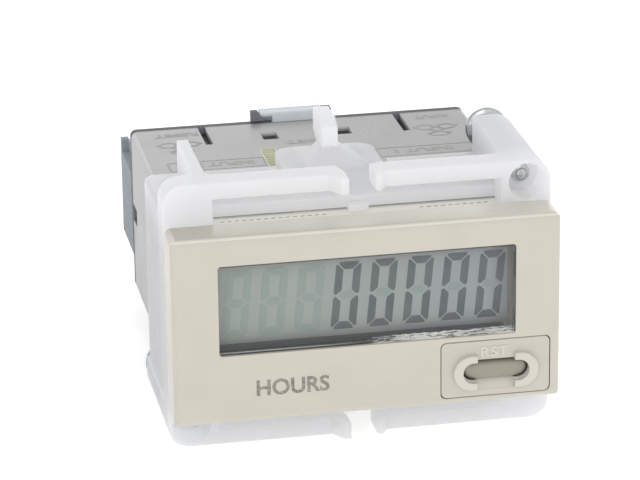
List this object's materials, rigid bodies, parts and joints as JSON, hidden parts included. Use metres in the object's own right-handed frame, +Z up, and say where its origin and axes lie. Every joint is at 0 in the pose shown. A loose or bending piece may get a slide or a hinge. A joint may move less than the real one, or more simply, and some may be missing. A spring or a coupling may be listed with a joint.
{
  "type": "electronic hour meter",
  "caption": "Panel-mounted electronic hour meter with LCD, reset key, rear terminal block and screw-clamped bracket.",
  "frame": {"origin": "middle of the bezel's rear face, which lies against the front of the panel", "axes": "+X to the right seen from the front, +Y to the rear through the panel, +Z up"},
  "size_m": [0.048, 0.0571, 0.034],
  "materials": {
    "case_plastic": "satin",
    "window_plastic": "clear",
    "dark_plastic": "satin",
    "lcd": "smooth",
    "film": "satin",
    "ink_lit": "smooth",
    "ink_idle": "smooth",
    "silicone": "matte",
    "board": "satin",
    "chip": "matte",
    "ceramic_chip": "satin",
    "key_plastic": "satin",
    "nickel": "plated",
    "cell": "satin",
    "nylon": "translucent satin",
    "tray_plastic": "satin",
    "cover_plastic": "translucent glossy",
    "zinc": "zinc plated"
  },
  "bodies": {
    "housing": {"case": "case_plastic", "window": "window_plastic", "display_frame": "dark_plastic", "lcd_glass": "lcd", "lcd_polariser": "film", "lcd_reflector": "film", "lit_segments": "ink_lit", "idle_segments": "ink_idle", "elastomer_connectors": "silicone", "front_board": "board", "controller_chip": "chip", "quartz_crystal": "nickel", "chip_components": "ceramic_chip", "reset_switch": "chip", "key_surround": "case_plastic", "battery": "cell", "battery_tray": "tray_plastic", "battery_contact_plus": "nickel", "battery_contact_minus": "nickel", "terminal_block": "dark_plastic", "contact_strips": "nickel", "terminal_plates": "nickel", "clamp_washers": "zinc", "terminal_screws": "zinc"},
    "bracket": {"mounting_bracket": "nylon"},
    "upper_screw": {"upper_clamp_screw": "zinc"},
    "lower_screw": {"lower_clamp_screw": "zinc"},
    "reset_button": {"reset_key": "key_plastic", "switch_plunger": "tray_plastic"},
    "cover": {"terminal_cover": "cover_plastic"}
  },
  "joints": [
    {"name": "bracket_slide", "type": "slide", "parent": "housing", "child": "bracket", "axis": [0, 1, 0], "range_m": [0, 0.006]},
    {"name": "upper_screw_stroke", "type": "slide", "parent": "bracket", "child": "upper_screw", "axis": [0, -1, 0], "range_m": [0, 0.002]},
    {"name": "lower_screw_stroke", "type": "slide", "parent": "bracket", "child": "lower_screw", "axis": [0, -1, 0], "range_m": [0, 0.002]},
    {"name": "reset_press", "type": "slide", "parent": "housing", "child": "reset_button", "axis": [0, 1, 0], "range_m": [0, 0.0006], "stiffness_N_per_m": 1500, "springref_m": -0.0003},
    {"name": "cover_hinge", "type": "hinge", "parent": "housing", "child": "cover", "pos_m": [0, 0.0423, 0.0117], "axis": [1, 0, 0], "range_deg": [0, 110]}
  ]
}
